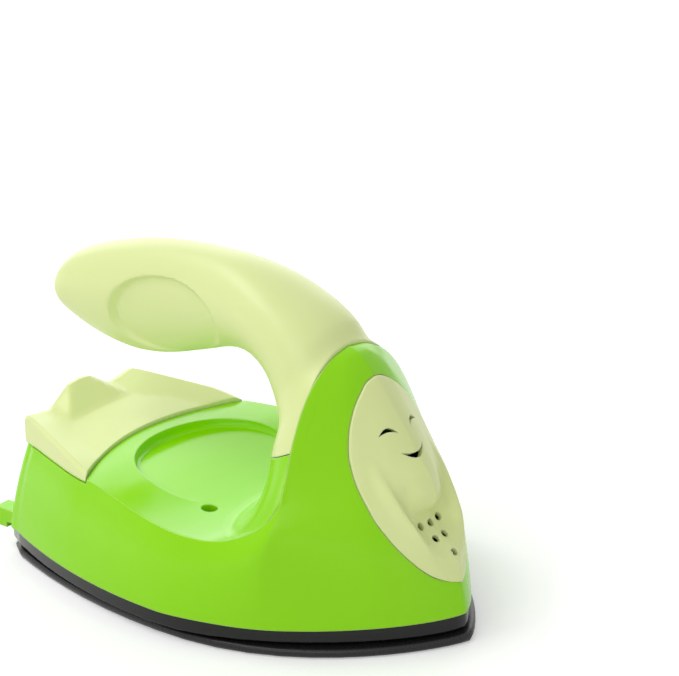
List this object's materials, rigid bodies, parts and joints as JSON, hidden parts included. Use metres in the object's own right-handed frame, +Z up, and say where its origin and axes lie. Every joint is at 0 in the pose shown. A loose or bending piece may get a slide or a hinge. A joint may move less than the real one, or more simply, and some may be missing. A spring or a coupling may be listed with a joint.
{
  "type": "mini craft iron",
  "caption": "Small hand-held craft iron with a pointed dark soleplate, a green saddle-shaped housing, a hooked pale grip, a smiling vented nose plate and a rear cover.",
  "frame": {"origin": "centre of the soleplate's length, on its working face", "axes": "+Y from the toe to the heel, +Z up from the working face to the grip, X across; the form is symmetric about X = 0"},
  "size_m": [0.0692, 0.115, 0.0731],
  "materials": {
    "shell_green": "glossy moulded bright green",
    "pale_green": "satin moulded pale green",
    "sole_black": "cast, with a dark non-stick coat",
    "ring_black": "glossy black heat-resistant moulding",
    "steel": "zinc plated",
    "mica": "mica sheet",
    "heater_foil": "mica card wound with heating ribbon",
    "white_ceramic": "matt white ceramic",
    "black_rubber": "matt black rubber",
    "lead_sleeve": "off-white heat-proof sleeve",
    "grey_plastic": "matt dark grey moulding"
  },
  "bodies": {
    "root": {"soleplate": "sole_black", "skirt_ring": "ring_black", "housing_shell": "shell_green", "handle_grip": "pale_green", "face_plate": "pale_green", "rear_cover": "pale_green", "cord_bush": "black_rubber", "saddle_screw_1": "steel", "saddle_screw_2": "steel", "mica_lower": "mica", "heater_plate": "heater_foil", "mica_upper": "mica", "clamp_plate": "steel", "clamp_nut_1": "steel", "clamp_nut_2": "steel", "heat_shield": "steel", "shield_screw_1": "steel", "shield_screw_2": "steel", "thermostat": "white_ceramic", "thermal_fuse": "steel", "terminal_block": "grey_plastic", "terminal_screw_1": "steel", "terminal_screw_2": "steel", "lead_wire_1": "lead_sleeve", "lead_wire_2": "lead_sleeve", "cord_clamp": "grey_plastic", "clamp_screw_1": "steel", "clamp_screw_2": "steel", "front_screw": "steel", "handle_screw_1": "steel", "handle_screw_2": "steel", "cover_screw_1": "steel", "cover_screw_2": "steel"}
  },
  "joints": []
}
